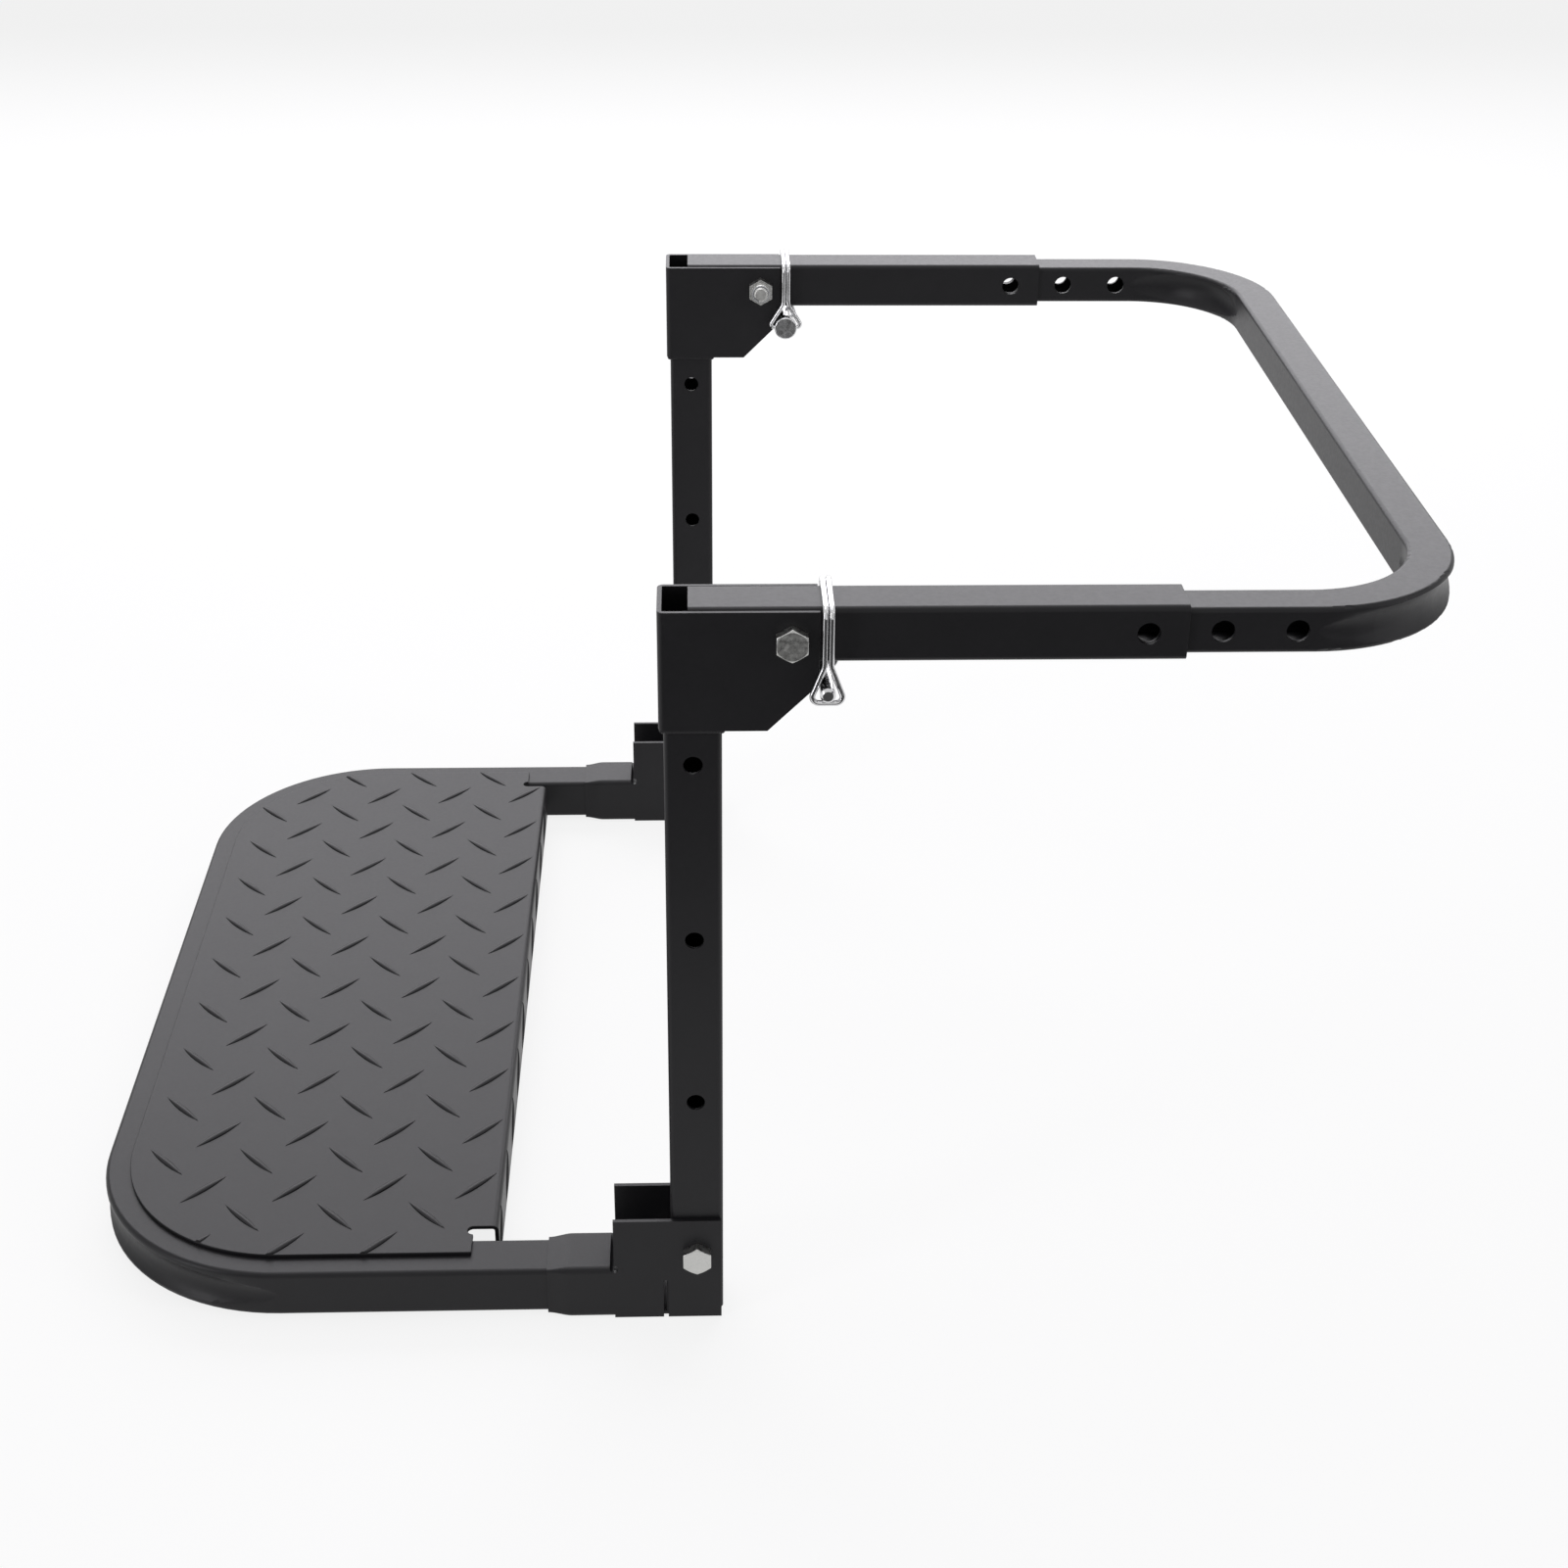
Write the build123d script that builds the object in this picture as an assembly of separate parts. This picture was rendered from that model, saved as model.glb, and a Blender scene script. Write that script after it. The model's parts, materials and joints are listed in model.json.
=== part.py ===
from build123d import *
import math
import os

# A step that hangs on a vehicle's tire. X runs from the step to the hook, Y across, Z up.
# Millimetres. The origin is on the floor, in the middle of the object's box.

# Frame
arm_spacing = 590.0  # between the centre planes of the two arms, posts and rails
arm_height = 436.0  # centre line of the arms above the floor
step_reach = 362.0  # post axis to the front face of the step frame
sleeve_reach = 249.5  # post axis to the open end of a sleeve

# Square tubes
tube = 30.0
tube_wall = 2.0
tube_corner = 3.0
slide_gap = 0.5  # all round the hook's legs in the sleeves
hook_wall = 2.0
hook_corner = 2.6

# Bends, on the tube's centre line
step_bend = 105.0
hook_bend = 77.5
step_flattening = 5.0  # depth of the pressed-in walls in a bend
hook_flattening = 4.0
flattening_round = 16.0  # section radius of a pressed-in wall

# Folded sheet brackets
sheet = 2.5
sheet_bend = 3.5  # outer radius of a fold
sheet_fit = 0.3  # between a bracket and the tube in it

# Hinge bolts
bolt = 10.0
bolt_fit = 0.1  # radial, in every hole that a bolt passes through
bolt_flats = 16.0
bolt_head = 6.4
bolt_crown = 15.2  # flat top of the head, across
bolt_chamfer = 1.0
nut_hex = 6.6
nut_collar = 3.2
nut_collar_round = 13.0
nut_collar_edge = 1.1
bolt_tail = 2.0  # thread past the nut

# Foot bracket, measured from the post axis
foot_bolt_height = 45.0
foot_riser_front = 48.0
foot_riser_back = 14.0
foot_riser_height = 70.0
foot_socket_length = 39.0  # in front of the riser
foot_swage = 14.0  # mouth of the socket, drawn in along an S-shaped line
foot_swage_sections = 6
foot_swage_edge = 0.5  # sheet left at the very mouth
foot_lip_height = 27.0
foot_slot_width = 2.7
foot_slot_ahead = 3.2  # slot centre in front of the post
foot_relief_round = 5.0
foot_stop_gap = 0.2  # between the lip and the post
rail_end = 28.5  # the step frame's tube ends this far in front of the post axis

# Post
post_floor_gap = 4.0
post_hole_pitch = 106.0
post_hole_count = 3  # above the foot bolt

# Elbow bracket, measured from the elbow bolt
elbow_bolt_ahead = 50.0  # post axis to elbow bolt
elbow_bolt_drop = 2.0  # below the arm's centre line
elbow_edge = 14.0  # bolt to the free edge
elbow_corner_drop = 24.0  # bolt to the top of the sloping corner
elbow_depth = 52.0  # arm's centre line to the lower edge
elbow_top_drop = 1.0  # rim below the arm's top
arm_rest_gap = 0.2  # arm above the post's end
arm_tail = 2.0  # sleeve's rear end behind the post axis

# Telescoping hook
pin_hole = 12.0
pin_hole_inset = 20.0  # from the sleeve's open end
hook_hole_pitch = 38.0
hook_holes_out = 2  # showing past the sleeve
hook_holes_in = 1  # hidden in the sleeve
hook_straight = 66.0  # leg past the sleeve, up to the bend
hook_insert = 124.5  # leg inside the sleeve

# Tread plate
plate = 2.5
plate_flange = 27.0
plate_bend = 4.0
plate_back = 117.0  # post axis to the flange's back face
plate_tab_setback = 11.0  # tabs on the rails end this far ahead of the flange
plate_notch = 7.0
plate_rail_gap = 1.5  # flange end to rail
lug_pitch = 54.5
lug_length = 43.0  # of the spindle; its cap shows about 27 long
lug_round = 3.4  # largest radius of the spindle that a lug is the cap of
lug_rise = 1.3
lug_turn = 47.0  # degrees from X
lug_columns_start = 23.0  # first column behind the plate's front edge
lug_rows_start = 34.5  # first row from the near edge

# Lock pins
pin = 8.0
pin_head = 16.0
pin_head_length = 7.0
pin_head_edge = 0.9
pin_chamfer = 1.3
pin_clear = 0.3  # pin to the sloping corners, and its head to the bracket
pin_ahead = 4.0  # pin axis past the bracket's free edge
pin_tip = 4.0  # past the bail's eye
wire = 3.0
wire_pair_gap = 0.2
bail_round = 5.0  # over the arm
bail_eye_round = 8.0  # at the top of the eye
bail_spread = 12.0  # half width at the pin's head
bail_spread_height = 17.0
bail_neck_round = 10.0
bail_hook_round = 2.2
bail_seat = 4.0  # wire ends this far from the head's axis
eye_half_width = 9.2
eye_below = 6.2
eye_above = 14.0
eye_round = 3.5

# Worked out from the sizes above
arm_y = arm_spacing / 2
half = tube / 2
hook_tube = tube - 2 * tube_wall - 2 * slide_gap
hook_half = hook_tube / 2
hook_reach = sleeve_reach + hook_straight + hook_bend + hook_half
post_x = (step_reach - hook_reach) / 2
channel = half + sheet_fit  # half the inside width of a bracket
shell = channel + sheet  # half the outside width of a bracket
bolt_bore = bolt + 2 * bolt_fit
rail_bottom = sheet + sheet_fit
rail_middle = rail_bottom + half
rail_top = rail_bottom + tube
socket_top = rail_top + sheet_fit + sheet
post_top = arm_height - half - arm_rest_gap
elbow_z = arm_height - elbow_bolt_drop
elbow_bottom = arm_height - elbow_depth
elbow_top = arm_height + half - elbow_top_drop
step_front = -step_reach + half  # centre line of the front bar
leg_y = shell + pin_clear + pin_head_length / 2  # bail's legs, from the arm's centre plane
pin_x = elbow_bolt_ahead + elbow_edge + pin_ahead
pin_z = elbow_z - elbow_corner_drop + pin_ahead - math.sqrt(2) * (pin / 2 + pin_clear)


def block(x_low, x_high, y_low, y_high, z_low, z_high):
    size = (x_high - x_low, y_high - y_low, z_high - z_low)
    middle = Pos((x_low + x_high) / 2, (y_low + y_high) / 2, (z_low + z_high) / 2)
    return middle * Box(*size)


def cross_hole(x, z, diameter, length):
    return Pos(x, 0, z) * Rot(90, 0, 0) * Cylinder(diameter / 2, length)


def tube_section(size, wall, corner):
    bore = size - 2 * wall
    return RectangleRounded(size, size, corner) - RectangleRounded(bore, bore, corner - wall)


# A U-bent bar lying flat, its crossbar at +X and its two legs ending at x_end.
def bent_bar(x_end, x_bar, spacing, size, corner, bend):
    outline_corners = Rectangle(x_bar + size / 2 - x_end, spacing + size, align=(Align.MIN, Align.CENTER))
    outline = fillet(outline_corners.vertices().group_by(Axis.X)[-1], bend + size / 2)
    opening_corners = Rectangle(x_bar - size / 2 - x_end, spacing - size, align=(Align.MIN, Align.CENTER))
    opening = fillet(opening_corners.vertices().group_by(Axis.X)[-1], bend - size / 2)
    bar = extrude(Pos(x_end, 0, -size / 2) * (outline - opening), size)
    flat_edges = bar.faces().sort_by(Axis.Z)[0].edges() + bar.faces().sort_by(Axis.Z)[-1].edges()
    leg_ends = flat_edges.group_by(Axis.X)[0]
    return fillet([edge for edge in flat_edges if edge not in leg_ends], corner)


# The rings that press a bend's outer and inner walls in, deepest at the middle of the bend.
def pressed_walls(x_bar, spacing, size, bend, depth, thickness):
    outer = bend + size / 2
    inner = bend - size / 2
    slack = 2 - math.sqrt(2)
    outer_shift = depth * (2 * outer - depth) / (slack * outer - 2 * depth)
    inner_shift = depth * (2 * inner + depth) / (slack * inner + 2 * depth)
    outer_ring = outer - depth + outer_shift + flattening_round
    inner_ring = inner + depth - inner_shift - flattening_round
    section = flattening_round + thickness
    rings = []
    for side in (1, -1):
        x = x_bar - bend
        y = side * (spacing / 2 - bend)
        far_corner = block(x, x + 3 * outer, abs(y), abs(y) + 3 * outer, -size / 2, size / 2)
        sector = far_corner if side > 0 else mirror(far_corner, about=Plane.XZ)
        lean = 1 / math.sqrt(2)
        outside = Pos(x - outer_shift * lean, y - side * outer_shift * lean, 0) * Torus(outer_ring, section)
        inside = Pos(x + inner_shift * lean, y + side * inner_shift * lean, 0) * Torus(inner_ring, section)
        rings += [outside & sector, inside & sector]
    return rings


def bent_tube(x_end, x_bar, spacing, size, wall, corner, bend, depth):
    skin = bent_bar(x_end, x_bar, spacing, size, corner, bend)
    for ring in pressed_walls(x_bar, spacing, size, bend, depth, 0):
        skin -= ring
    bore = bent_bar(x_end, x_bar, spacing, size - 2 * wall, corner - wall, bend)
    for ring in pressed_walls(x_bar, spacing, size, bend, depth, wall):
        bore -= ring
    return skin - bore


def make_post():
    floor = Pos(0, 0, post_floor_gap)
    post = floor * extrude(tube_section(tube, tube_wall, tube_corner), post_top - post_floor_gap)
    for step in range(post_hole_count + 1):
        post -= cross_hole(0, foot_bolt_height + step * post_hole_pitch, bolt_bore, 2 * tube)
    return post


def make_sleeve():
    start = Plane(origin=(-arm_tail, 0, arm_height), x_dir=(0, 1, 0), z_dir=(1, 0, 0))
    sleeve = extrude(start * tube_section(tube, tube_wall, tube_corner), arm_tail + sleeve_reach)
    sleeve -= cross_hole(elbow_bolt_ahead, elbow_z, bolt_bore, 2 * tube)
    return sleeve - cross_hole(sleeve_reach - pin_hole_inset, arm_height, pin_hole, 2 * tube)


def make_hook():
    x_end = sleeve_reach - hook_insert
    x_bar = hook_reach - hook_half
    hook = bent_tube(x_end, x_bar, arm_spacing, hook_tube, hook_wall, hook_corner, hook_bend, hook_flattening)
    for step in range(-hook_holes_in, hook_holes_out + 1):
        x = sleeve_reach - pin_hole_inset + step * hook_hole_pitch
        for side in (1, -1):
            hook -= Pos(0, side * arm_y, 0) * cross_hole(x, 0, pin_hole, 2 * hook_tube)
    return Pos(0, 0, arm_height) * hook


def make_step_frame():
    x_bar = -step_front
    frame = bent_tube(rail_end, x_bar, arm_spacing, tube, tube_wall, tube_corner, step_bend, step_flattening)
    return Pos(0, 0, rail_middle) * mirror(frame, about=Plane.YZ)


def make_elbow_bracket():
    back = elbow_bolt_ahead + elbow_edge
    front = -half - sheet
    outside = block(front, back, -shell, shell, elbow_bottom, elbow_top)
    outside = fillet(outside.edges().filter_by(Axis.Z).group_by(Axis.X)[0], sheet_bend)
    inside = block(-half, back, -channel, channel, elbow_bottom, elbow_top)
    inside = fillet(inside.edges().filter_by(Axis.Z).group_by(Axis.X)[0], sheet_bend - sheet)
    corner_z = elbow_z - elbow_corner_drop
    slope = corner_z - elbow_bottom
    waste = Polyline((back, corner_z), (back, elbow_bottom), (back - slope, elbow_bottom), close=True)
    corner = extrude(Plane.XZ * make_face(waste), shell, both=True)
    return outside - inside - corner - cross_hole(elbow_bolt_ahead, elbow_z, bolt_bore, 3 * tube)


def make_foot_bracket():
    mouth = -foot_riser_front - foot_socket_length
    neck = mouth + foot_swage
    stop = -half - foot_stop_gap
    section = Plane(origin=(neck, 0, socket_top / 2), x_dir=(0, 1, 0), z_dir=(1, 0, 0))
    body = extrude(section * RectangleRounded(2 * shell, socket_top, sheet_bend), stop - neck)
    swage = []
    for step in range(foot_swage_sections + 1):
        along = step / foot_swage_sections
        edge = foot_swage_edge + (sheet - foot_swage_edge) * along * along * (3 - 2 * along)
        size = 2 * (channel + edge)
        place = section.offset(foot_swage * (along - 1))
        swage.append(place * RectangleRounded(size, size, sheet_bend - sheet + edge))
    body += loft(swage)
    body += block(-foot_riser_front, foot_riser_back, -shell, shell, 0, foot_riser_height)
    body -= block(mouth, stop - sheet, -channel, channel, sheet, socket_top - sheet)
    body -= block(-foot_riser_front, stop - sheet, -channel, channel, sheet, foot_riser_height)
    body -= block(stop - sheet, stop, -channel, channel, foot_lip_height, foot_riser_height)
    body -= block(stop, foot_riser_back, -channel, channel, 0, foot_riser_height)
    body -= cross_hole(-foot_riser_front, socket_top, foot_relief_round, 3 * tube)
    slot_x = -half - foot_slot_ahead
    slot_top = foot_lip_height - foot_slot_width / 2
    for side in (1, -1):
        low, high = sorted((side * channel, side * 2 * shell))
        body -= block(slot_x - foot_slot_width / 2, slot_x + foot_slot_width / 2, low, high, 0, slot_top)
        end = Rot(90, 0, 0) * Cylinder(foot_slot_width / 2, high - low)
        body -= Pos(slot_x, (low + high) / 2, slot_top) * end
    return body - cross_hole(0, foot_bolt_height, bolt_bore, 3 * tube)


# A block whose upper back edge is rounded: the outside of the tread's fold, or the space inside it.
def folded_block(x_low, x_high, y_half, z_low, z_high, bend):
    plain = block(x_low, x_high, -y_half, y_half, z_low, z_high)
    back_top = plain.edges().filter_by(Axis.Y).group_by(Axis.Z)[-1].sort_by(Axis.X)[-1]
    return fillet(back_top, bend)


def make_tread_plate():
    front = step_front
    back = -plate_back
    tab_back = back - plate_tab_setback
    surface = rail_top + plate
    flange_half = arm_y - half - plate_rail_gap
    corners = Pos(front, 0) * Rectangle(tab_back - front, arm_spacing, align=(Align.MIN, Align.CENTER))
    outline = fillet(corners.vertices().group_by(Axis.X)[0], step_bend)
    body = extrude(Pos(0, 0, rail_top) * outline, plate)
    flange_low = surface - plate_flange
    fold = folded_block(tab_back, back, flange_half, flange_low, surface, plate_bend)
    fold -= folded_block(tab_back, back - plate, flange_half, flange_low, rail_top, plate_bend - plate)
    body += fold
    field = extrude(Pos(0, 0, rail_top) * outline, plate + lug_round)
    field += block(tab_back, back - plate_bend, -flange_half, flange_half, rail_top, surface + lug_round)
    body += [lug & field for lug in make_lugs(front, back - plate_bend, surface)]
    for side in (1, -1):
        y = side * (flange_half - plate_notch / 2)
        body -= Pos(tab_back - plate_notch / 2, y, rail_top) * Cylinder(plate_notch / 2, 3 * plate)
        low, high = sorted((y - side * plate_notch / 2, side * arm_y))
        body -= block(tab_back - plate_notch / 2, back, low, high, flange_low, surface + plate)
    return body


# Raised lugs: the caps of spindles sunk into the sheet, in two crossing directions.
def make_lugs(front, back, surface):
    bow = ThreePointArc((-lug_length / 2, 0), (0, lug_round), (lug_length / 2, 0))
    chord = Line((lug_length / 2, 0), (-lug_length / 2, 0))
    spindle = revolve(make_face([bow, chord]), Axis.X)
    waterline = lug_round - lug_rise - plate / 2
    lens = spindle & block(-lug_length, lug_length, -lug_round, lug_round, waterline, lug_round)
    columns = int(2 * (back - front - lug_columns_start) / lug_pitch) + 1
    rows = int(2 * (arm_spacing - lug_rows_start) / lug_pitch) + 1
    lugs = []
    for column in range(columns):
        for row in range(column % 2, rows, 2):
            x = front + lug_columns_start + column * lug_pitch / 2
            y = -arm_y + lug_rows_start + row * lug_pitch / 2
            if math.hypot(max(front + step_bend - x, 0), max(abs(y) - arm_y + step_bend, 0)) > step_bend:
                continue
            turn = lug_turn if column % 2 else -lug_turn
            lugs.append(Pos(x, y, surface - lug_round + lug_rise) * Rot(0, 0, turn) * lens)
    return lugs


def make_bolt(x, z):
    corner_round = bolt_flats / math.sqrt(3)
    crown = corner_round - bolt_crown / 2
    barrel = Cylinder(corner_round, bolt_head, align=(Align.CENTER, Align.CENTER, Align.MIN))
    barrel = chamfer(barrel.edges().filter_by(GeomType.CIRCLE).sort_by(Axis.Z)[-1], crown / 2, crown)
    head = barrel & extrude(RegularPolygon(bolt_flats / 2, 6, major_radius=False), bolt_head)
    shank_length = 2 * shell + nut_hex + nut_collar + bolt_tail
    shank = Cylinder(bolt / 2, shank_length, align=(Align.CENTER, Align.CENTER, Align.MAX))
    shank = chamfer(shank.edges().filter_by(GeomType.CIRCLE).sort_by(Axis.Z)[0], bolt_chamfer)
    return Pos(x, shell, z) * Rot(-90, 0, 0) * Rot(0, 0, 30) * (head + shank)


def make_nut(x, z):
    hexagon = extrude(RegularPolygon(bolt_flats / 2, 6, major_radius=False), nut_hex)
    collar = Cylinder(nut_collar_round / 2, nut_collar, align=(Align.CENTER, Align.CENTER, Align.MIN))
    collar = fillet(collar.edges().filter_by(GeomType.CIRCLE).sort_by(Axis.Z)[-1], nut_collar_edge)
    nut = hexagon + Pos(0, 0, nut_hex) * collar
    nut -= Cylinder(bolt_bore / 2, 3 * (nut_hex + nut_collar))
    return Pos(x, -shell, z) * Rot(90, 0, 0) * Rot(0, 0, 30) * nut


def make_pin():
    shoulder = shell + pin_clear
    tip = leg_y + wire / 2 + pin_tip
    shaft = Cylinder(pin / 2, shoulder + tip, align=(Align.CENTER, Align.CENTER, Align.MIN))
    shaft = chamfer(shaft.edges().filter_by(GeomType.CIRCLE).sort_by(Axis.Z)[-1], pin_chamfer)
    head = Cylinder(pin_head / 2, pin_head_length, align=(Align.CENTER, Align.CENTER, Align.MAX))
    head = fillet(head.edges().filter_by(GeomType.CIRCLE), pin_head_edge)
    bore = Pos(0, 0, -pin_head_length / 2) * Rot(0, 90, 0) * Cylinder(wire / 2 + bolt_fit, 2 * pin_head)
    return Pos(pin_x, -shoulder, pin_z) * Rot(-90, 0, 0) * (shaft + head - bore)


# One spring wire: out of the pin's head, over the arm as a pair, and round the tip as an eye.
def make_bail():
    pair = (wire + wire_pair_gap) / 2
    top = arm_height + half + pin_clear + wire / 2
    one_side = [
        (bail_seat, -leg_y, pin_z),
        (bail_spread, -leg_y, pin_z),
        (pair, -leg_y, pin_z + bail_spread_height),
        (pair, -leg_y, top),
        (pair, leg_y, top),
        (pair, leg_y, pin_z + eye_above),
        (eye_half_width, leg_y, pin_z - eye_below)]
    rounds = [bail_hook_round, bail_neck_round, bail_round, bail_round, bail_eye_round, eye_round]
    other_side = [(-x, y, z) for x, y, z in reversed(one_side)]
    route = FilletPolyline(*one_side, *other_side, radius=rounds + rounds[::-1])
    end = Plane(origin=route @ 0, z_dir=route % 0)
    return Pos(pin_x, 0, 0) * sweep(end * Circle(wire / 2), path=route)


def save(name, piece):
    export_step(piece, os.path.join("parts", name + ".step"))


def save_pair(name, piece):
    far = Pos(post_x, arm_y, 0) * piece
    save(name + "_far", far)
    save(name + "_near", mirror(far, about=Plane.XZ))


os.makedirs("parts", exist_ok=True)
save("tread_plate", Pos(post_x, 0, 0) * make_tread_plate())
save("step_frame_tube", Pos(post_x, 0, 0) * make_step_frame())
save("hook_tube", Pos(post_x, 0, 0) * make_hook())
save_pair("foot_bracket", make_foot_bracket())
save_pair("post", make_post())
save_pair("elbow_bracket", make_elbow_bracket())
save_pair("arm_sleeve", make_sleeve())
save_pair("foot_bolt", make_bolt(0, foot_bolt_height))
save_pair("foot_nut", make_nut(0, foot_bolt_height))
save_pair("elbow_bolt", make_bolt(elbow_bolt_ahead, elbow_z))
save_pair("elbow_nut", make_nut(elbow_bolt_ahead, elbow_z))
save_pair("lock_pin", make_pin())
save_pair("pin_bail", make_bail())
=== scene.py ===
import json
import math
import bmesh
import bpy
from mathutils import Matrix, Vector

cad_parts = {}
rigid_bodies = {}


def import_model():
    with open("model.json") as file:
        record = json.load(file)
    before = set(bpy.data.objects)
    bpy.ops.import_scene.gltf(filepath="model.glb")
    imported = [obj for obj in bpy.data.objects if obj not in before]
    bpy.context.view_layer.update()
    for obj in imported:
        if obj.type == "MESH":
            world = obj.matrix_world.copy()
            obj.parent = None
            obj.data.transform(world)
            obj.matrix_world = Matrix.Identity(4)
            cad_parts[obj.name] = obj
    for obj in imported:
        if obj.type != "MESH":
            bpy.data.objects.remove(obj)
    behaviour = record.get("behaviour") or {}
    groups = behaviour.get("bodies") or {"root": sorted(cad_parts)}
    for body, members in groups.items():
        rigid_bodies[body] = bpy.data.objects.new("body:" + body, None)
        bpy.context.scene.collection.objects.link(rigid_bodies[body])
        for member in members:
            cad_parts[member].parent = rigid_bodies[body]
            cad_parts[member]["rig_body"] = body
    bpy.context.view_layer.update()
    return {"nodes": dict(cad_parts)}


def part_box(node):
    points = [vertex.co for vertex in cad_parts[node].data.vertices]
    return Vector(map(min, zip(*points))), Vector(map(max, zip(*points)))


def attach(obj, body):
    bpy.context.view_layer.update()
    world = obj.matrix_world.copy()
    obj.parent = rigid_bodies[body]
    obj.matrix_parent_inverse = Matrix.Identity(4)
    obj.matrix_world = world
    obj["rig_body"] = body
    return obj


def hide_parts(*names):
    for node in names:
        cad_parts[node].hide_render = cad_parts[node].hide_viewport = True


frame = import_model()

scene = bpy.context.scene
mm = 0.001
print("frame loaded:", len(frame["nodes"]), "CAD nodes")


# Node helpers, for materials and geometry alike
def plug(tree, target, value):
    if isinstance(value, bpy.types.NodeSocket):
        tree.links.new(value, target)
    else:
        target.default_value = value


def addNode(tree, kind, inputs, **settings):
    node = tree.nodes.new(kind)
    for label, value in settings.items():
        setattr(node, label, value)
    for label, value in inputs.items():
        plug(tree, node.inputs[label], value)
    return node


def reckon(tree, operation, *values):
    return addNode(tree, "ShaderNodeMath", dict(enumerate(values)), operation=operation).outputs["Value"]


# Materials are at the top because every piece needs one. Noise scales are per metre, depths in metres.
coatLook = {
    "dark": (0.0105, 0.0102, 0.0115, 1), "light": (0.0145, 0.0142, 0.0157, 1), "ior": 1.32,
    "smooth": 0.37, "dull": 0.42, "bumpStrength": 0.35, "bumpDepth": 0.00006, "grainShare": 0.35,
    "cloud": {"Scale": 38, "Detail": 3}, "patch": {"Scale": 420, "Detail": 4},
    "peel": {"Scale": 950, "Detail": 2}, "grain": {"Scale": 3200, "Detail": 1},
}
zincLook = {
    "dark": (0.46, 0.46, 0.45, 1), "light": (0.60, 0.60, 0.58, 1), "smooth": 0.24, "dull": 0.4,
    "bumpStrength": 0.3, "bumpDepth": 0.00003,
    "cloud": {"Scale": 420, "Detail": 5}, "fine": {"Scale": 2520, "Detail": 2},
}
brightLook = {
    "dark": (0.62, 0.62, 0.63, 1), "light": (0.74, 0.74, 0.75, 1), "smooth": 0.1, "dull": 0.2,
    "bumpStrength": 0.3, "bumpDepth": 0.00001,
    "cloud": {"Scale": 300, "Detail": 5}, "fine": {"Scale": 1800, "Detail": 2},
}
nylonLook = {
    "colour": (0.45, 0.46, 0.47, 1), "smooth": 0.4, "dull": 0.55,
    "cloud": {"Scale": 600, "Detail": 3},
}
noiseSpread = {"From Min": 0.3, "From Max": 0.7}  # where most of a noise's values lie


def newMaterial(name):
    material = bpy.data.materials.new(name)
    material.use_nodes = True
    tree = material.node_tree
    return material, tree, tree.nodes["Principled BSDF"]


def noiseOf(tree, texture):
    place = tree.nodes.new("ShaderNodeTexCoord").outputs["Object"]
    return addNode(tree, "ShaderNodeTexNoise", {"Vector": place, **texture}).outputs["Fac"]


def setTint(tree, shader, noise, look):
    colours = {"A": look["dark"], "B": look["light"], "Factor": noise}
    tint = addNode(tree, "ShaderNodeMix", colours, data_type="RGBA")
    plug(tree, shader.inputs["Base Color"], tint.outputs["Result"])


def setRoughness(tree, shader, noise, look):
    span = {"Value": noise, "To Min": look["smooth"], "To Max": look["dull"], **noiseSpread}
    plug(tree, shader.inputs["Roughness"], addNode(tree, "ShaderNodeMapRange", span).outputs["Result"])


def setBump(tree, shader, height, look):
    relief = {"Strength": look["bumpStrength"], "Distance": look["bumpDepth"], "Height": height}
    plug(tree, shader.inputs["Normal"], addNode(tree, "ShaderNodeBump", relief).outputs["Normal"])


def makePowderCoat():
    material, tree, shader = newMaterial("powderCoat")
    shader.inputs["IOR"].default_value = coatLook["ior"]
    setTint(tree, shader, noiseOf(tree, coatLook["cloud"]), coatLook)
    setRoughness(tree, shader, noiseOf(tree, coatLook["patch"]), coatLook)
    peel = noiseOf(tree, coatLook["peel"])  # orange peel, with a finer grain on it
    grain = noiseOf(tree, coatLook["grain"])
    setBump(tree, shader, reckon(tree, "MULTIPLY_ADD", grain, coatLook["grainShare"], peel), coatLook)
    return material


def makePlatedMetal(name, look):
    material, tree, shader = newMaterial(name)
    shader.inputs["Metallic"].default_value = 1.0
    cloud = noiseOf(tree, look["cloud"])
    setTint(tree, shader, cloud, look)
    setRoughness(tree, shader, cloud, look)
    setBump(tree, shader, noiseOf(tree, look["fine"]), look)
    return material


def makeNylon():
    material, tree, shader = newMaterial("nylonInsert")
    shader.inputs["Base Color"].default_value = nylonLook["colour"]
    setRoughness(tree, shader, noiseOf(tree, nylonLook["cloud"]), nylonLook)
    return material


powderCoat = makePowderCoat()
zincPlate = makePlatedMetal("zincPlate", zincLook)
brightPlate = makePlatedMetal("brightPlate", brightLook)
nylonInsert = makeNylon()
print("materials made")


def putInScene(name, mesh, material, body):
    piece = bpy.data.objects.new(name, mesh)
    scene.collection.objects.link(piece)
    mesh.materials.clear()
    mesh.materials.append(material)
    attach(piece, body)
    return piece


def plainMesh(piece):
    scene.view_layers[0].update()
    seen = piece.evaluated_get(bpy.context.evaluated_depsgraph_get())
    return bpy.data.meshes.new_from_object(seen)


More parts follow.
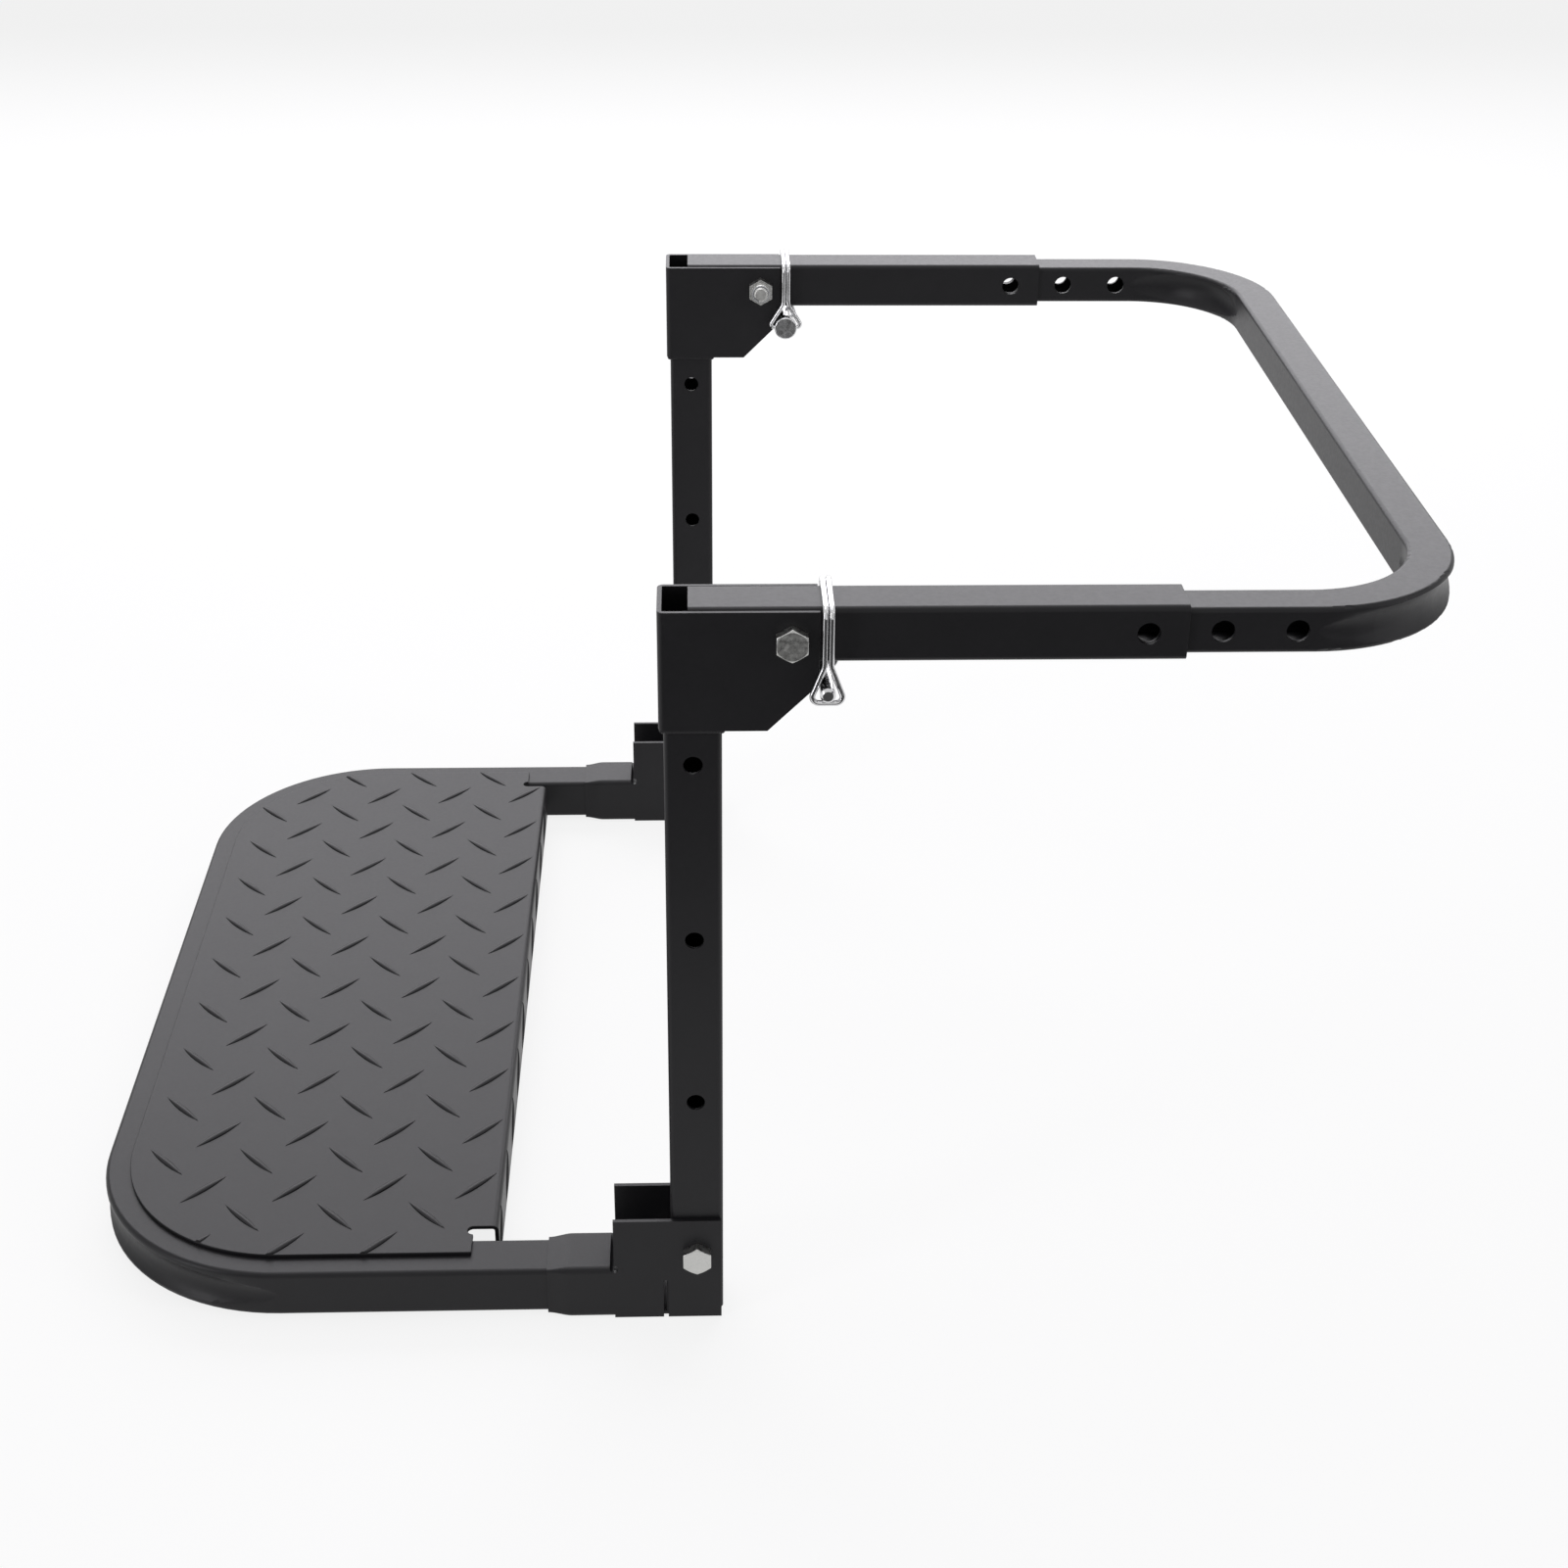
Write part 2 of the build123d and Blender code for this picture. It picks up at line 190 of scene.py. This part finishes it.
# Rigid pieces: the CAD forms with their sharp edges eased (millimetres), as folded and coated steel has
easedPieces = {
    "post": {"edge": 0.35, "steps": 2, "finish": "powder_coat"},
    "arm_sleeve": {"edge": 0.35, "steps": 2, "finish": "powder_coat"},
    "elbow_bracket": {"edge": 0.55, "steps": 3, "finish": "powder_coat"},
    "foot_bracket": {"edge": 0.5, "steps": 3, "finish": "powder_coat"},
    "foot_bolt": {"edge": 0.22, "steps": 2, "finish": "zinc"},
    "elbow_bolt": {"edge": 0.22, "steps": 2, "finish": "zinc"},
    "foot_nut": {"edge": 0.25, "steps": 2, "finish": "zinc"},
    "elbow_nut": {"edge": 0.25, "steps": 2, "finish": "zinc"},
    "lock_pin": {"edge": 0.2, "steps": 2, "finish": "chrome"},
    "pin_bail": {"edge": 0.3, "steps": 2, "finish": "chrome"},
    "step_frame_tube": {"edge": 0.3, "steps": 2, "finish": "powder_coat"},
    "hook_tube": {"edge": 0.3, "steps": 2, "finish": "powder_coat"},
}
finishes = {"powder_coat": powderCoat, "zinc": zincPlate, "chrome": brightPlate}
easing = {
    "mergeGap": 2e-6, "flatAngle": math.radians(0.4), "sharpAngle": math.radians(32),
    "normalWeight": 90,
}


def mergedCopy(node):
    mesh = frame["nodes"][node].data.copy()
    work = bmesh.new()
    work.from_mesh(mesh)
    bmesh.ops.remove_doubles(work, verts=work.verts, dist=easing["mergeGap"])
    bmesh.ops.dissolve_limit(work, angle_limit=easing["flatAngle"], verts=work.verts, edges=work.edges)
    work.to_mesh(mesh)
    work.free()
    return mesh


def easeNode(node, size):
    mesh = mergedCopy(node)
    mesh.shade_smooth()
    rough = bpy.data.objects.new(node + "_rough", mesh)
    scene.collection.objects.link(rough)
    bevel = rough.modifiers.new("easedEdges", "BEVEL")
    bevel.width = size["edge"] * mm
    bevel.segments = size["steps"]
    bevel.limit_method = "ANGLE"
    bevel.angle_limit = easing["sharpAngle"]
    bevel.use_clamp_overlap = True
    bevel.miter_outer = "MITER_ARC"
    weighted = rough.modifiers.new("faceNormals", "WEIGHTED_NORMAL")
    weighted.weight = easing["normalWeight"]
    weighted.keep_sharp = True
    finished = plainMesh(rough)
    finished.name = node + "_eased"
    bpy.data.objects.remove(rough)
    body = frame["nodes"][node]["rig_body"]
    piece = putInScene(node + "_eased", finished, finishes[size["finish"]], body)
    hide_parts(node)


for kind, size in easedPieces.items():
    for node in sorted(frame["nodes"]):
        if node in (kind, kind + "_far", kind + "_near"):
            easeNode(node, size)
print("rigid pieces eased")


# Node trees for what repeats: lugs, weld ripples, threads and nylon rings
def newTree(name, sizes):
    tree = bpy.data.node_groups.new(name, "GeometryNodeTree")
    tree.interface.new_socket("Geometry", in_out="INPUT", socket_type="NodeSocketGeometry")
    tree.interface.new_socket("Geometry", in_out="OUTPUT", socket_type="NodeSocketGeometry")
    labels = {}
    for label in sizes:
        socket = tree.interface.new_socket(label, in_out="INPUT", socket_type="NodeSocketFloat")
        labels[label] = socket.identifier
    return tree, labels, tree.nodes.new("NodeGroupInput").outputs


def vectorOf(tree, x, y, z):
    return addNode(tree, "ShaderNodeCombineXYZ", {"X": x, "Y": y, "Z": z}).outputs["Vector"]


def moved(tree, geometry, place):
    inputs = {"Geometry": geometry, "Position": place}
    return addNode(tree, "GeometryNodeSetPosition", inputs).outputs["Geometry"]


def instancesAt(tree, points, shape, turn):
    inputs = {"Points": points, "Instance": shape, "Rotation": turn}
    return addNode(tree, "GeometryNodeInstanceOnPoints", inputs).outputs["Instances"]


def pointTurn(tree):  # the turn that pointSeed keeps at each point
    node = addNode(tree, "GeometryNodeInputNamedAttribute", {"Name": "turn"}, data_type="FLOAT_VECTOR")
    return node.outputs["Attribute"]


def swept(tree, path, profile, capped):
    inputs = {"Curve": path.outputs["Curve"], "Profile Curve": profile.outputs["Curve"], "Fill Caps": capped}
    return addNode(tree, "GeometryNodeCurveToMesh", inputs).outputs["Mesh"]


def endTree(tree, instances, material):
    real = addNode(tree, "GeometryNodeRealizeInstances", {"Geometry": instances}).outputs["Geometry"]
    dress = addNode(tree, "GeometryNodeSetMaterial", {"Geometry": real, "Material": material})
    addNode(tree, "NodeGroupOutput", {"Geometry": dress.outputs["Geometry"]})


def grow(name, seedMesh, tree, labels, sizes):  # runs a tree on a seed mesh and gives back a plain mesh
    seed = bpy.data.objects.new(name + "Seed", seedMesh)
    scene.collection.objects.link(seed)
    nodesModifier = seed.modifiers.new(name, "NODES")
    nodesModifier.node_group = tree
    for label, value in sizes.items():
        nodesModifier[labels[label]] = value
    mesh = plainMesh(seed)
    seed.modifiers.remove(nodesModifier)
    bpy.data.objects.remove(seed)
    mesh.name = name
    return mesh


def pointSeed(name, places, turns):
    mesh = bpy.data.meshes.new(name)
    mesh.from_pydata(places, [], [])
    turnField = mesh.attributes.new("turn", "FLOAT_VECTOR", "POINT")
    for field, turn in zip(turnField.data, turns):
        field.vector = turn
    return mesh


# Tread plate: one pressed sheet, flat first, then folded down at the back
treadSize = {  # millimetres
    "sheet": 2.5, "foldRound": 4.0, "flange": 27.0, "cornerRound": 105.0, "tabSetback": 14.5, "notch": 7.0,
    "flangeHalf": 271.5, "rimEdge": 0.5, "pitch": 54.5, "firstColumn": 23.0, "firstRow": 34.5,
}
treadSteps = {"fold": 8, "corner": 28, "notch": 10, "rim": 3}
rimAngle = math.radians(40)
lugSize = {"Lug Length": 0.035, "Lug Width": 0.0046, "Lug Rise": 0.0013, "Lug Root": 0.0005}
lugShape = {"alongPoints": 13, "acrossPoints": 7, "mergeGap": 0.00002}
lugLean = math.radians(47)
lugCutShare = 0.6  # of half a lug: a lug whose middle lies further out than this is left out


def lugTree():
    tree, labels, given = newTree("treadLugs", lugSize)
    points = {"Vertices X": lugShape["alongPoints"], "Vertices Y": lugShape["acrossPoints"]}
    grid = addNode(tree, "GeometryNodeMeshGrid", {"Size X": 2.0, "Size Y": 2.0, **points}).outputs["Mesh"]
    place = tree.nodes.new("GeometryNodeInputPosition").outputs["Position"]
    where = addNode(tree, "ShaderNodeSeparateXYZ", {"Vector": place})
    along = where.outputs["X"]  # both run from -1 to 1
    across = where.outputs["Y"]
    taper = reckon(tree, "SUBTRACT", 1.0, reckon(tree, "MULTIPLY", along, along))
    crown = reckon(tree, "SUBTRACT", 1.0, reckon(tree, "MULTIPLY", across, across))
    x = reckon(tree, "MULTIPLY", along, reckon(tree, "MULTIPLY", given["Lug Length"], 0.5))
    halfWide = reckon(tree, "MULTIPLY", taper, reckon(tree, "MULTIPLY", given["Lug Width"], 0.5))
    y = reckon(tree, "MULTIPLY", across, halfWide)
    swell = reckon(tree, "MULTIPLY", taper, crown)
    top = reckon(tree, "MULTIPLY", swell, given["Lug Rise"])
    root = reckon(tree, "MULTIPLY", swell, reckon(tree, "MULTIPLY", given["Lug Root"], -1.0))
    cap = moved(tree, grid, vectorOf(tree, x, y, top))
    belly = addNode(tree, "GeometryNodeFlipFaces", {"Mesh": moved(tree, grid, vectorOf(tree, x, y, root))})
    both = addNode(tree, "GeometryNodeJoinGeometry", {"Geometry": cap})
    plug(tree, both.inputs["Geometry"], belly.outputs["Mesh"])
    inputs = {"Geometry": both.outputs["Geometry"], "Distance": lugShape["mergeGap"]}
    lug = addNode(tree, "GeometryNodeMergeByDistance", inputs).outputs["Geometry"]
    endTree(tree, instancesAt(tree, given["Geometry"], lug, pointTurn(tree)), powderCoat)
    return tree, labels


def treadPlan():
    low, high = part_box("tread_plate")
    plan = {label: value * mm for label, value in treadSize.items()}
    plan["surface"] = high.z - lugSize["Lug Rise"]
    plan["front"] = low.x
    plan["back"] = high.x
    plan["side"] = high.y
    plan["tabEnd"] = high.x - plan["tabSetback"]
    plan["bendStart"] = high.x - plan["foldRound"]
    plan["bendLength"] = plan["foldRound"] * math.pi / 2
    plan["flatEnd"] = plan["bendStart"] + plan["bendLength"] + plan["flange"] - plan["foldRound"]
    return plan


def folded(plan, x, y, h):  # a point of the flat sheet, h above its outer face, where the fold takes it
    bend = plan["foldRound"]
    past = x - plan["bendStart"]
    if past <= 0:
        return Vector((x, y, plan["surface"] + h))
    if past <= plan["bendLength"]:
        turn = past / bend
        reach = bend + h
        return Vector((
            plan["bendStart"] + reach * math.sin(turn), y, plan["surface"] - bend + reach * math.cos(turn)))
    return Vector((plan["back"] + h, y, plan["surface"] - bend - (past - plan["bendLength"])))


def treadOutline(plan):
    strip = plan["flangeHalf"]
    tabEnd = plan["tabEnd"]
    notch = plan["notch"] / 2
    corner = plan["cornerRound"]
    outline = [(plan["bendStart"], strip), (tabEnd, strip)]
    for step in range(1, treadSteps["notch"]):
        turn = math.pi * step / treadSteps["notch"]
        outline.append((tabEnd - notch * math.sin(turn), strip + notch - notch * math.cos(turn)))
    outline += [(tabEnd, strip + 2 * notch), (tabEnd, plan["side"])]
    for step in range(treadSteps["corner"] + 1):
        turn = math.pi / 2 * step / treadSteps["corner"]
        x = plan["front"] + corner - corner * math.sin(turn)
        outline.append((x, plan["side"] - corner + corner * math.cos(turn)))
    return outline + [(x, -y) for x, y in reversed(outline)]


def treadSheet(plan):  # the outer face only
    strip = plan["flangeHalf"]
    work = bmesh.new()
    ring = [work.verts.new(folded(plan, x, y, 0)) for x, y in treadOutline(plan)]
    work.faces.new(ring)
    edge = (ring[0], ring[-1])
    stations = []
    for step in range(1, treadSteps["fold"] + 1):
        stations.append(plan["bendStart"] + plan["bendLength"] * step / treadSteps["fold"])
    for x in stations + [plan["flatEnd"]]:
        fresh = (work.verts.new(folded(plan, x, strip, 0)), work.verts.new(folded(plan, x, -strip, 0)))
        work.faces.new((edge[0], fresh[0], fresh[1], edge[1]))
        edge = fresh
    bmesh.ops.recalc_face_normals(work, faces=work.faces)
    work.faces.ensure_lookup_table()
    if work.faces[0].normal.z < 0:
        bmesh.ops.reverse_faces(work, faces=work.faces)
    mesh = bpy.data.meshes.new("treadSheet")
    work.to_mesh(mesh)
    work.free()
    mesh.shade_smooth()
    return mesh


def treadBlank(plan):  # the sheet with its thickness and rim
    rough = bpy.data.objects.new("treadRough", treadSheet(plan))
    scene.collection.objects.link(rough)
    thick = rough.modifiers.new("sheetThickness", "SOLIDIFY")
    thick.thickness = plan["sheet"]
    thick.offset = -1
    rim = rough.modifiers.new("rimEdge", "BEVEL")
    rim.width = plan["rimEdge"]
    rim.segments = treadSteps["rim"]
    rim.limit_method = "ANGLE"
    rim.angle_limit = rimAngle
    weighted = rough.modifiers.new("faceNormals", "WEIGHTED_NORMAL")
    weighted.keep_sharp = True
    blank = plainMesh(rough)
    bpy.data.objects.remove(rough)
    return blank


def edgesMet(plan, x, y):  # planes, as a point and the way out, of the edges that a lug at x, y crosses
    reach = lugSize["Lug Length"] / 2
    runX = reach * math.cos(lugLean)
    runY = reach * math.sin(lugLean)
    limit = plan["side"] if x + runX < plan["tabEnd"] else plan["flangeHalf"]
    planes = []
    for sign in (1, -1):
        if sign * y + runY > limit:
            planes.append((Vector((0, sign * limit, 0)), Vector((0, sign, 0))))
    if x + runX > plan["flatEnd"]:
        planes.append((Vector((plan["flatEnd"], 0, 0)), Vector((1, 0, 0))))
    if x - runX < plan["front"]:
        planes.append((Vector((plan["front"], 0, 0)), Vector((-1, 0, 0))))
    corner = plan["cornerRound"]
    middle = Vector((plan["front"] + corner, math.copysign(plan["side"] - corner, y), 0))
    out = Vector((x, y, 0)) - middle
    if out.x < 0 and out.y * y > 0 and out.length + reach > corner:
        planes.append((middle + out.normalized() * corner, out.normalized()))
    return planes


def lugSpots(plan):  # whole lugs, and those that cross an edge with the planes to cut them at
    half = plan["pitch"] / 2
    columns = int((plan["flatEnd"] - plan["front"] - plan["firstColumn"]) / half) + 1
    rows = int((2 * plan["side"] - plan["firstRow"]) / half) + 2
    furthest = lugSize["Lug Length"] / 2 * lugCutShare
    whole, cut = [], []
    for column in range(columns):
        for row in range(column % 2 - 2, rows, 2):
            x = plan["front"] + plan["firstColumn"] + column * half
            y = -plan["side"] + plan["firstRow"] + row * half
            turn = lugLean if column % 2 else -lugLean
            planes = edgesMet(plan, x, y)
            if any((Vector((x, y, 0)) - at).dot(away) >= furthest for at, away in planes):
                continue
            if planes:
                cut.append((x, y, turn, planes))
            else:
                whole.append((x, y, turn))
    return whole, cut


def cutLug(single, x, y, turn, planes, margin):
    part = bmesh.new()
    part.from_mesh(single)
    part.transform(Matrix.Translation((x, y, 0)) @ Matrix.Rotation(turn, 4, "Z"))
    for at, away in planes:
        everything = part.verts[:] + part.edges[:] + part.faces[:]
        cut = bmesh.ops.bisect_plane(
            part, geom=everything, plane_co=at - away * margin, plane_no=away, clear_outer=True)
        rimEdges = [item for item in cut["geom_cut"] if isinstance(item, bmesh.types.BMEdge)]
        if rimEdges:
            bmesh.ops.contextual_create(part, geom=rimEdges)
    trimmed = bpy.data.meshes.new("cutLug")
    part.to_mesh(trimmed)
    part.free()
    return trimmed


def treadLugs(plan, whole, cut):
    tree, labels = lugTree()
    places = [(x, y, 0) for x, y, turn in whole]
    turns = [(0, 0, turn) for x, y, turn in whole]
    lugs = grow("treadLugs", pointSeed("lugPoints", places, turns), tree, labels, lugSize)
    single = grow("oneLug", pointSeed("lugPoint", [(0, 0, 0)], [(0, 0, 0)]), tree, labels, lugSize)
    work = bmesh.new()
    work.from_mesh(lugs)
    for x, y, turn, planes in cut:
        trimmed = cutLug(single, x, y, turn, planes, plan["rimEdge"])
        work.from_mesh(trimmed)
        bpy.data.meshes.remove(trimmed)
    for vert in work.verts:
        vert.co = folded(plan, *vert.co)
    for face in work.faces:
        face.smooth = True
    work.to_mesh(lugs)
    work.free()
    return lugs


def makeTread():
    plan = treadPlan()
    plate = treadBlank(plan)
    whole, cut = lugSpots(plan)
    lugs = treadLugs(plan, whole, cut)
    putTogether = bmesh.new()
    putTogether.from_mesh(plate)
    putTogether.from_mesh(lugs)
    putTogether.to_mesh(plate)
    putTogether.free()
    tread = putInScene("treadPlate", plate, powderCoat, "step")
    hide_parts("tread_plate")
    print("tread plate made,", len(whole), "whole lugs and", len(cut), "cut ones")


makeTread()


# Weld beads under the elbow brackets, where each is welded to its post
weldSize = {"Ripple Step": 0.0015, "Ripple Length": 0.0034, "Ripple Width": 0.0038}
weldPlace = {"drop": 0.0003, "off": 0.0003}
rippleBall = {"Segments": 12, "Rings": 8, "Radius": 0.5}  # one metre across, before it is scaled


def weldTree():
    tree, labels, given = newTree("weldBead", weldSize)
    path = addNode(tree, "GeometryNodeMeshToCurve", {"Mesh": given["Geometry"]}).outputs["Curve"]
    inputs = {"Curve": path, "Length": given["Ripple Step"]}
    steps = addNode(tree, "GeometryNodeResampleCurve", inputs, mode="LENGTH").outputs["Curve"]
    ball = addNode(tree, "GeometryNodeMeshUVSphere", rippleBall).outputs["Mesh"]
    wide = given["Ripple Width"]
    inputs = {"Geometry": ball, "Scale": vectorOf(tree, wide, wide, given["Ripple Length"])}
    ripple = addNode(tree, "GeometryNodeTransform", inputs).outputs["Geometry"]
    tangent = tree.nodes.new("GeometryNodeInputTangent").outputs["Tangent"]
    turn = addNode(tree, "FunctionNodeAlignRotationToVector", {"Vector": tangent}, axis="Z")
    endTree(tree, instancesAt(tree, steps, ripple, turn.outputs["Rotation"]), powderCoat)
    return tree, labels


def makeWelds():
    places, edges = [], []
    off = weldPlace["off"]
    for sideName in ("far", "near"):
        postLow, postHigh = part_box("post_" + sideName)
        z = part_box("elbow_bracket_" + sideName)[0].z - weldPlace["drop"]
        first = len(places)
        places += [
            (postHigh.x, postLow.y - off, z), (postLow.x - off, postLow.y - off, z),
            (postLow.x - off, postHigh.y + off, z), (postHigh.x, postHigh.y + off, z)]
        edges += [(first, first + 1), (first + 1, first + 2), (first + 2, first + 3)]
    seed = bpy.data.meshes.new("weldPath")
    seed.from_pydata(places, edges, [])
    tree, labels = weldTree()
    mesh = grow("elbowWelds", seed, tree, labels, weldSize)
    mesh.shade_smooth()
    putInScene("elbowWelds", mesh, powderCoat, "posts")
    print("weld beads made")


makeWelds()


# Threads on the bolts' ends and nylon rings in the lock nuts
threadSize = {"Thread Pitch": 0.0015, "Thread Round": 0.00475, "Thread Depth": 0.0004, "Thread Turns": 1.3}
threadSteps = {"turn": 32, "ridge": 6}
threadInset = 0.0002  # the thread starts this far inside the nut's collar
ringSize = {"Ring Round": 0.00565, "Ring Thickness": 0.00055}
ringSteps = {"round": 48, "section": 10}


def circleOf(tree, steps, radius):
    return addNode(tree, "GeometryNodeCurvePrimitiveCircle", {"Resolution": steps, "Radius": radius})


def threadTree():
    tree, labels, given = newTree("boltThread", threadSize)
    spiral = addNode(tree, "GeometryNodeCurveSpiral", {
        "Resolution": threadSteps["turn"], "Rotations": given["Thread Turns"],
        "Start Radius": given["Thread Round"], "End Radius": given["Thread Round"],
        "Height": reckon(tree, "MULTIPLY", given["Thread Turns"], given["Thread Pitch"]),
    })
    thread = swept(tree, spiral, circleOf(tree, threadSteps["ridge"], given["Thread Depth"]), True)
    endTree(tree, instancesAt(tree, given["Geometry"], thread, pointTurn(tree)), zincPlate)
    return tree, labels


def ringTree():
    tree, labels, given = newTree("nylonRing", ringSize)
    circle = circleOf(tree, ringSteps["round"], given["Ring Round"])
    ring = swept(tree, circle, circleOf(tree, ringSteps["section"], given["Ring Thickness"]), False)
    endTree(tree, instancesAt(tree, given["Geometry"], ring, pointTurn(tree)), nylonInsert)
    return tree, labels


def makeFastenerDetail():
    ends, collars, turns = [], [], []
    for kind in ("elbow", "foot"):
        for sideName, inward in (("far", -1), ("near", 1)):
            boltLow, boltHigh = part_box(kind + "_bolt_" + sideName)
            nutLow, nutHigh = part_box(kind + "_nut_" + sideName)
            middle = (boltLow + boltHigh) / 2
            collar = nutLow.y if inward < 0 else nutHigh.y
            ends.append((middle.x, collar - inward * threadInset, middle.z))
            collars.append((middle.x, collar, middle.z))
            turns.append((-inward * math.pi / 2, 0, 0))
    tree, labels = threadTree()
    mesh = grow("boltThreads", pointSeed("boltEnds", ends, turns), tree, labels, threadSize)
    mesh.shade_smooth()
    putInScene("boltThreads", mesh, zincPlate, "posts")
    tree, labels = ringTree()
    mesh = grow("nylonRings", pointSeed("nutCollars", collars, turns), tree, labels, ringSize)
    mesh.shade_smooth()
    putInScene("nylonRings", mesh, nylonInsert, "posts")
    print("threads and nylon rings made")


makeFastenerDetail()


# Stage, light and camera, in metres and watts
studio = {
    "floorReach": 14.0, "floorDrop": 0.0006, "floorColour": (0.93, 0.93, 0.93, 1), "whiteShare": 0.84,
    "worldAmbient": 0.26, "lampColour": (0.97, 0.955, 1.0),
    "darkCard": (0.02, 0.02, 0.02, 1),
}
panels = {
    "backPanel": {"at": (0.0, 2.3, 1.75), "aim": (0, 0, 0.3), "wide": 3.8, "tall": 2.2, "watts": 76},
    "topPanel": {"at": (-0.3, 0.2, 2.3), "aim": (0, 0, 0.2), "wide": 1.6, "tall": 1.6, "watts": 14},
    "leftPanel": {"at": (-2.2, -1.6, 0.9), "aim": (0, 0, 0.1), "wide": 0.5, "tall": 1.8, "watts": 16},
    "rightPanel": {"at": (2.2, -1.0, 1.0), "aim": (0, 0, 0.3), "wide": 0.4, "tall": 1.8, "watts": 12},
}
cards = {  # only reflections see them, so that plated metal has dark edges; a corner and two sides each
    "frontCard": ((-1.3, -2.4, 0.004), (2.6, 0, 0), (0, 1.65, 0)),
    "leftCard": ((-1.5, -1.3, 0.01), (0.5, -0.9, 0), (0, 0, 1.6)),
    "rightCard": ((1.3, -1.6, 0.01), (0.5, 0.9, 0), (0, 0, 1.6)),
}


def seenDirectly(tree):
    rays = tree.nodes.new("ShaderNodeLightPath").outputs
    nearRays = reckon(tree, "MAXIMUM", rays["Is Camera Ray"], rays["Is Glossy Ray"])
    return reckon(tree, "MAXIMUM", nearRays, rays["Is Transmission Ray"])


def stageFace(name, corners, material):
    mesh = bpy.data.meshes.new(name)
    mesh.from_pydata(corners, [], [(0, 1, 2, 3)])
    mesh.materials.append(material)
    face = bpy.data.objects.new(name, mesh)
    scene.collection.objects.link(face)
    return face


def makeFloor():
    reach = studio["floorReach"]
    low = -studio["floorDrop"]
    material = bpy.data.materials.new("paleFloor")
    material.use_nodes = True
    tree = material.node_tree
    tree.nodes.clear()
    matt = addNode(tree, "ShaderNodeBsdfDiffuse", {"Color": studio["floorColour"]})
    glow = addNode(tree, "ShaderNodeEmission", {})
    share = reckon(tree, "MULTIPLY", seenDirectly(tree), studio["whiteShare"])
    inputs = {"Fac": share, 1: matt.outputs["BSDF"], 2: glow.outputs["Emission"]}
    mixed = addNode(tree, "ShaderNodeMixShader", inputs)
    addNode(tree, "ShaderNodeOutputMaterial", {"Surface": mixed.outputs["Shader"]})
    corners = [(-reach, -reach, low), (reach, -reach, low), (reach, reach, low), (-reach, reach, low)]
    stageFace("floor", corners, material)


def makeCard(name):
    corner, first, second = (Vector(values) for values in cards[name])
    material, tree, shader = newMaterial(name)
    shader.inputs["Base Color"].default_value = studio["darkCard"]
    card = stageFace(name, [corner, corner + first, corner + first + second, corner + second], material)
    card.visible_camera = False
    card.visible_diffuse = False
    card.visible_shadow = False


def makeWorld():
    world = bpy.data.worlds.new("studio")
    scene.world = world
    world.use_nodes = True
    tree = world.node_tree
    tree.nodes.clear()
    ambient = addNode(tree, "ShaderNodeBackground", {"Strength": studio["worldAmbient"]})
    white = addNode(tree, "ShaderNodeBackground", {})
    inputs = {"Fac": seenDirectly(tree), 1: ambient.outputs["Background"], 2: white.outputs["Background"]}
    mixed = addNode(tree, "ShaderNodeMixShader", inputs)
    addNode(tree, "ShaderNodeOutputWorld", {"Surface": mixed.outputs["Shader"]})


def makePanel(name):
    size = panels[name]
    lamp = bpy.data.lights.new(name, "AREA")
    lamp.shape = "RECTANGLE"
    lamp.size = size["wide"]
    lamp.size_y = size["tall"]
    lamp.energy = size["watts"]
    lamp.color = studio["lampColour"]
    panel = bpy.data.objects.new(name, lamp)
    scene.collection.objects.link(panel)
    panel.location = size["at"]
    away = Vector(size["aim"]) - Vector(size["at"])
    panel.rotation_euler = away.to_track_quat("-Z", "Y").to_euler()


photoView = {  # metres, radians and, for the lens and sensor, millimetres
    "at": (-0.0195, -1.3976, 0.9437), "yaw": 0.041, "pitch": 0.498, "roll": 0.012,
    "lens": 55.14, "sensor": 36.0,
}


def makeCamera():
    yaw = photoView["yaw"]
    pitch = photoView["pitch"]
    roll = photoView["roll"]
    ahead = Vector((math.sin(yaw) * math.cos(pitch), math.cos(yaw) * math.cos(pitch), -math.sin(pitch)))
    level = Vector((math.cos(yaw), -math.sin(yaw), 0))
    upright = level.cross(ahead)
    right = level * math.cos(roll) + upright * math.sin(roll)
    up = upright * math.cos(roll) - level * math.sin(roll)
    camera = bpy.data.objects.new("photoCamera", bpy.data.cameras.new("photoCamera"))
    camera.data.lens = photoView["lens"]
    camera.data.sensor_width = photoView["sensor"]
    turn = Matrix((right, up, -ahead)).transposed().to_4x4()
    camera.matrix_world = Matrix.Translation(photoView["at"]) @ turn
    scene.collection.objects.link(camera)
    scene.camera = camera


makeFloor()
makeWorld()
for panelName in panels:
    makePanel(panelName)
for cardName in cards:
    makeCard(cardName)
makeCamera()
scene.view_settings.view_transform = "Standard"
print("stage, light and camera set")
